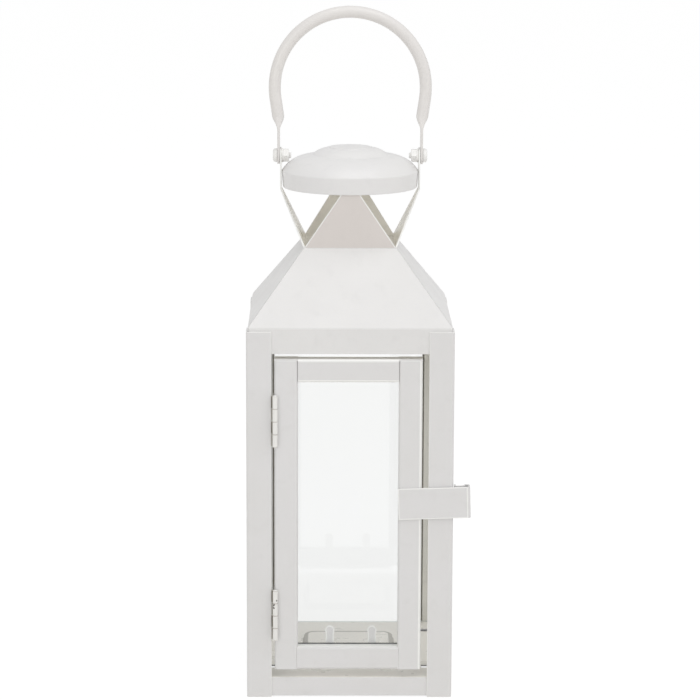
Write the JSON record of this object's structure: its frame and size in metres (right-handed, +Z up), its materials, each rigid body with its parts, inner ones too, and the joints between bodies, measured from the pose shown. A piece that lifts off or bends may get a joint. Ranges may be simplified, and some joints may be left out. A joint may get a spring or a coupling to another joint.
{
  "type": "candle lantern",
  "caption": "Square sheet-metal candle lantern with glazed sides, a hinged glazed door with a strap latch, a pyramid roof under a round cap and a swinging carrying handle.",
  "frame": {"origin": "on the ground under the middle of the square body, level with the feet of the posts", "axes": "+Z up, the door faces -Y, +X to the right when looking at the door, where the latch is"},
  "size_m": [0.1085, 0.1031, 0.3335],
  "materials": {
    "painted_sheet": "satin off-white powder coat on folded sheet steel",
    "painted_hardware": "the same off-white coat on hinges, bolts and nuts, slightly glossier",
    "clear_glass": "clear float glass with a faint green edge"
  },
  "bodies": {
    "housing": {"base_tray": "painted_sheet", "post_front_left": "painted_sheet", "post_front_right": "painted_sheet", "post_back_left": "painted_sheet", "post_back_right": "painted_sheet", "roof_hood": "painted_sheet", "cap": "painted_sheet", "left_glass_clips": "painted_sheet", "right_glass_clips": "painted_sheet", "back_glass_clips": "painted_sheet", "pivot_bolt_left": "painted_hardware", "pivot_bolt_right": "painted_hardware", "pivot_nut_left": "painted_hardware", "pivot_nut_right": "painted_hardware", "upper_post_leaf": "painted_hardware", "upper_hinge_pin": "painted_hardware", "lower_post_leaf": "painted_hardware", "lower_hinge_pin": "painted_hardware", "left_glass": "clear_glass", "right_glass": "clear_glass", "back_glass": "clear_glass"},
    "door": {"door_hinge_stile": "painted_sheet", "door_latch_stile": "painted_sheet", "door_top_rail": "painted_sheet", "door_bottom_rail": "painted_sheet", "door_glass": "clear_glass", "latch_strap": "painted_sheet", "upper_door_leaf": "painted_hardware", "lower_door_leaf": "painted_hardware"},
    "handle": {"carry_handle": "painted_sheet"}
  },
  "joints": [
    {"name": "door_swing", "type": "hinge", "parent": "housing", "child": "door", "pos_m": [-0.03605, -0.05185, 0.0914], "axis": [0, 0, -1], "range_deg": [0, 170]},
    {"name": "handle_swing", "type": "hinge", "parent": "housing", "child": "handle", "pos_m": [0, 0, 0.26058], "axis": [1, 0, 0], "range_deg": [-144, 144]}
  ]
}
